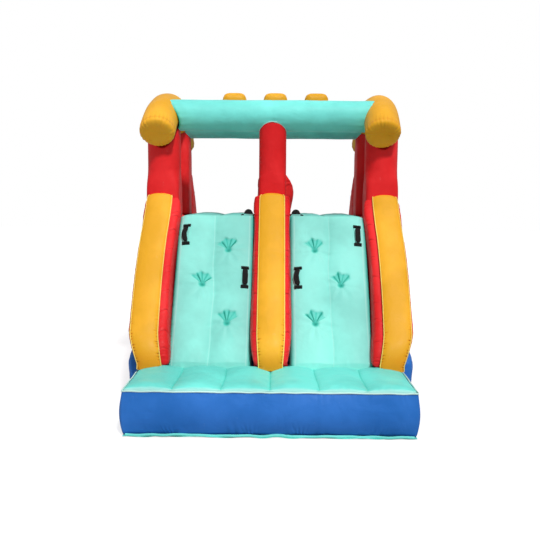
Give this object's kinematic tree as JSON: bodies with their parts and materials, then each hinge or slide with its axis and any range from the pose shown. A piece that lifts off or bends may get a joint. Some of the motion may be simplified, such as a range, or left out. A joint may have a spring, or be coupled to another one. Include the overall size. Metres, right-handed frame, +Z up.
{
  "type": "inflatable water slide",
  "caption": "Inflatable water slide with climbing lanes, webbing handles, a platform under a bowed frame, slides and a splash pool.",
  "frame": {"origin": "middle of the footprint, on the ground under the slide", "axes": "+Z up, +Y from the landing mat and climbing lanes towards the splash pool, +X to the right of someone who faces the lanes"},
  "size_m": [2.2906, 4.934, 2.622],
  "materials": {
    "cyan_fabric": "satin coated fabric",
    "blue_fabric": "satin coated fabric",
    "red_fabric": "satin coated fabric",
    "yellow_fabric": "satin coated fabric",
    "black_webbing": "matte webbing"
  },
  "bodies": {
    "slide": {"back_pool_rim": "blue_fabric", "blower_sleeve": "blue_fabric", "centre_block": "yellow_fabric", "centre_climb_strip": "yellow_fabric", "centre_climb_wall": "red_fabric", "centre_slide_strip": "yellow_fabric", "centre_slide_wall": "red_fabric", "climb_core": "blue_fabric", "front_centre_post": "red_fabric", "front_crossbar": "cyan_fabric", "front_left_post": "red_fabric", "front_right_post": "red_fabric", "ground_sheet": "cyan_fabric", "left_arch": "yellow_fabric", "left_base": "blue_fabric", "left_block": "yellow_fabric", "left_climb_lane": "cyan_fabric", "left_climb_strip": "yellow_fabric", "left_climb_wall": "red_fabric", "left_crest_handle_patch": "black_webbing", "left_guard": "red_fabric", "left_inner_handle_patch": "black_webbing", "left_outer_handle_patch": "black_webbing", "left_pool_rim": "blue_fabric", "left_slide_lane": "cyan_fabric", "left_slide_strip": "yellow_fabric", "left_slide_wall": "red_fabric", "left_stake_loop": "black_webbing", "mat_top": "cyan_fabric", "mat_tray": "blue_fabric", "platform_core": "blue_fabric", "platform_deck": "cyan_fabric", "pool_floor": "cyan_fabric", "rear_centre_post": "red_fabric", "rear_crossbar": "cyan_fabric", "rear_left_post": "red_fabric", "rear_right_post": "red_fabric", "right_arch": "yellow_fabric", "right_base": "blue_fabric", "right_block": "yellow_fabric", "right_climb_lane": "cyan_fabric", "right_climb_strip": "yellow_fabric", "right_climb_wall": "red_fabric", "right_crest_handle_patch": "black_webbing", "right_guard": "red_fabric", "right_inner_handle_patch": "black_webbing", "right_outer_handle_patch": "black_webbing", "right_pool_rim": "blue_fabric", "right_slide_lane": "cyan_fabric", "right_slide_strip": "yellow_fabric", "right_slide_wall": "red_fabric", "right_stake_loop": "black_webbing", "slide_core": "blue_fabric"},
    "left_crest_handle_grip": {"left_crest_handle_grip": "black_webbing"},
    "left_inner_handle_grip": {"left_inner_handle_grip": "black_webbing"},
    "left_outer_handle_grip": {"left_outer_handle_grip": "black_webbing"},
    "right_crest_handle_grip": {"right_crest_handle_grip": "black_webbing"},
    "right_inner_handle_grip": {"right_inner_handle_grip": "black_webbing"},
    "right_outer_handle_grip": {"right_outer_handle_grip": "black_webbing"}
  },
  "joints": [
    {"name": "left_crest_handle_swing", "type": "hinge", "parent": "slide", "child": "left_crest_handle_grip", "pos_m": [-0.206, -0.973, 1.4943], "axis": [1, 0, 0], "range_deg": [-35, 35]},
    {"name": "left_inner_handle_swing", "type": "hinge", "parent": "slide", "child": "left_inner_handle_grip", "pos_m": [-0.21394, -1.4171, 0.99276], "axis": [0, 0.5664, 0.8241], "range_deg": [-35, 35]},
    {"name": "left_outer_handle_swing", "type": "hinge", "parent": "slide", "child": "left_outer_handle_grip", "pos_m": [-0.72166, -1.19038, 1.32594], "axis": [0, 0.5664, 0.8241], "range_deg": [-35, 35]},
    {"name": "right_crest_handle_swing", "type": "hinge", "parent": "slide", "child": "right_crest_handle_grip", "pos_m": [0.206, -0.973, 1.4943], "axis": [1, 0, 0], "range_deg": [-35, 35]},
    {"name": "right_inner_handle_swing", "type": "hinge", "parent": "slide", "child": "right_inner_handle_grip", "pos_m": [0.21394, -1.4171, 0.99276], "axis": [0, 0.5664, 0.8241], "range_deg": [-35, 35]},
    {"name": "right_outer_handle_swing", "type": "hinge", "parent": "slide", "child": "right_outer_handle_grip", "pos_m": [0.72166, -1.19038, 1.32594], "axis": [0, 0.5664, 0.8241], "range_deg": [-35, 35]}
  ]
}
